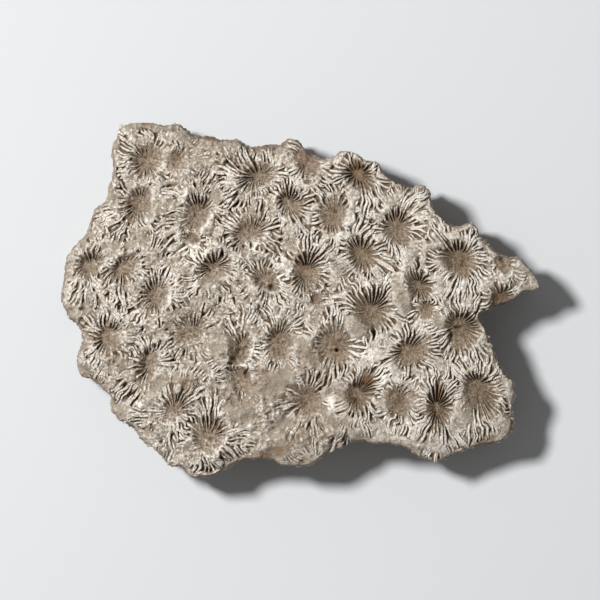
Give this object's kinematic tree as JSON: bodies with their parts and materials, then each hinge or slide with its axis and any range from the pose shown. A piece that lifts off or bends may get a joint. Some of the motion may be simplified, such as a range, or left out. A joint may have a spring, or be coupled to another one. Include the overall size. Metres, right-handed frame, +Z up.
{
  "type": "fossil coral head",
  "caption": "Flat-cut piece of a fossil coral head, its domed crown crowded with star-shaped cups and radiating septa.",
  "frame": {"origin": "middle of the bounding box at the flat base, on the surface the piece rests on", "axes": "+X along the longest way of the crown, +Y across it, +Z up out of the crown"},
  "size_m": [0.0862, 0.064, 0.0197],
  "materials": {
    "stone": "dull, rough, weathered limestone with cream crests and brown grooves"
  },
  "bodies": {
    "root": {"coral_head": "stone"}
  },
  "joints": []
}
